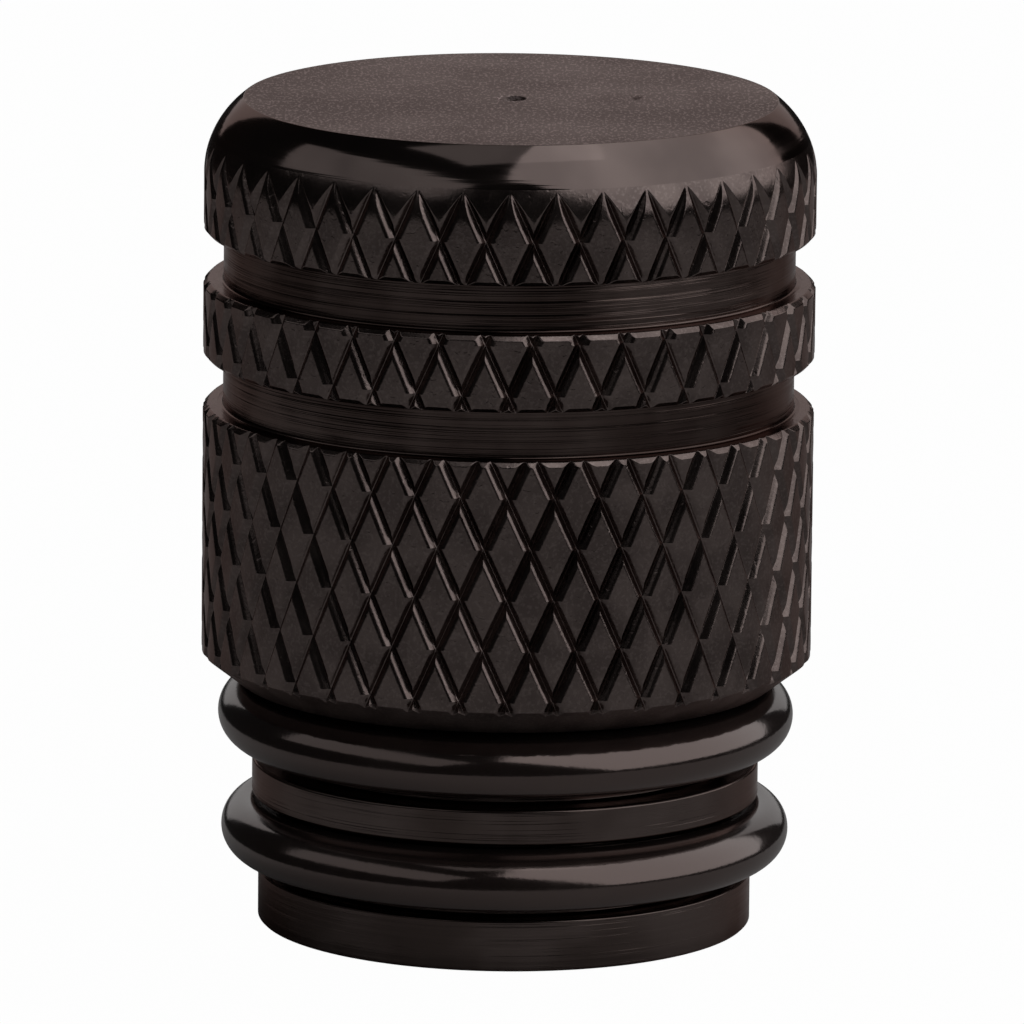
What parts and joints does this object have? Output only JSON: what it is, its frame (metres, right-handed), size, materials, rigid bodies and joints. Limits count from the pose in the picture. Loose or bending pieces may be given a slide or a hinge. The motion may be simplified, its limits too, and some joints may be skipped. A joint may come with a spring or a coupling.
{
  "type": "tyre valve cap",
  "caption": "Knurled metal cap for a tyre valve: rounded top, diamond-knurled grip bands with plain grooves, O-rings on the neck, threaded bore with a sealing washer.",
  "frame": {"origin": "centre of the rim of the open end, which the cap stands on", "axes": "+Z along the cap's axis, from the open end to the closed end; the knurl has a row crossing on -Y"},
  "size_m": [0.0126, 0.0126, 0.0174],
  "materials": {
    "anodised_aluminium": "dark brown-black anodised, satin on the flat end face and glossy on the shoulder and knurl",
    "ring_rubber": "smooth black rubber with an oiled sheen",
    "washer_rubber": "matte dark grey rubber"
  },
  "bodies": {
    "root": {"cap_body": "anodised_aluminium", "upper_o_ring": "ring_rubber", "lower_o_ring": "ring_rubber", "sealing_washer": "washer_rubber"}
  },
  "joints": []
}
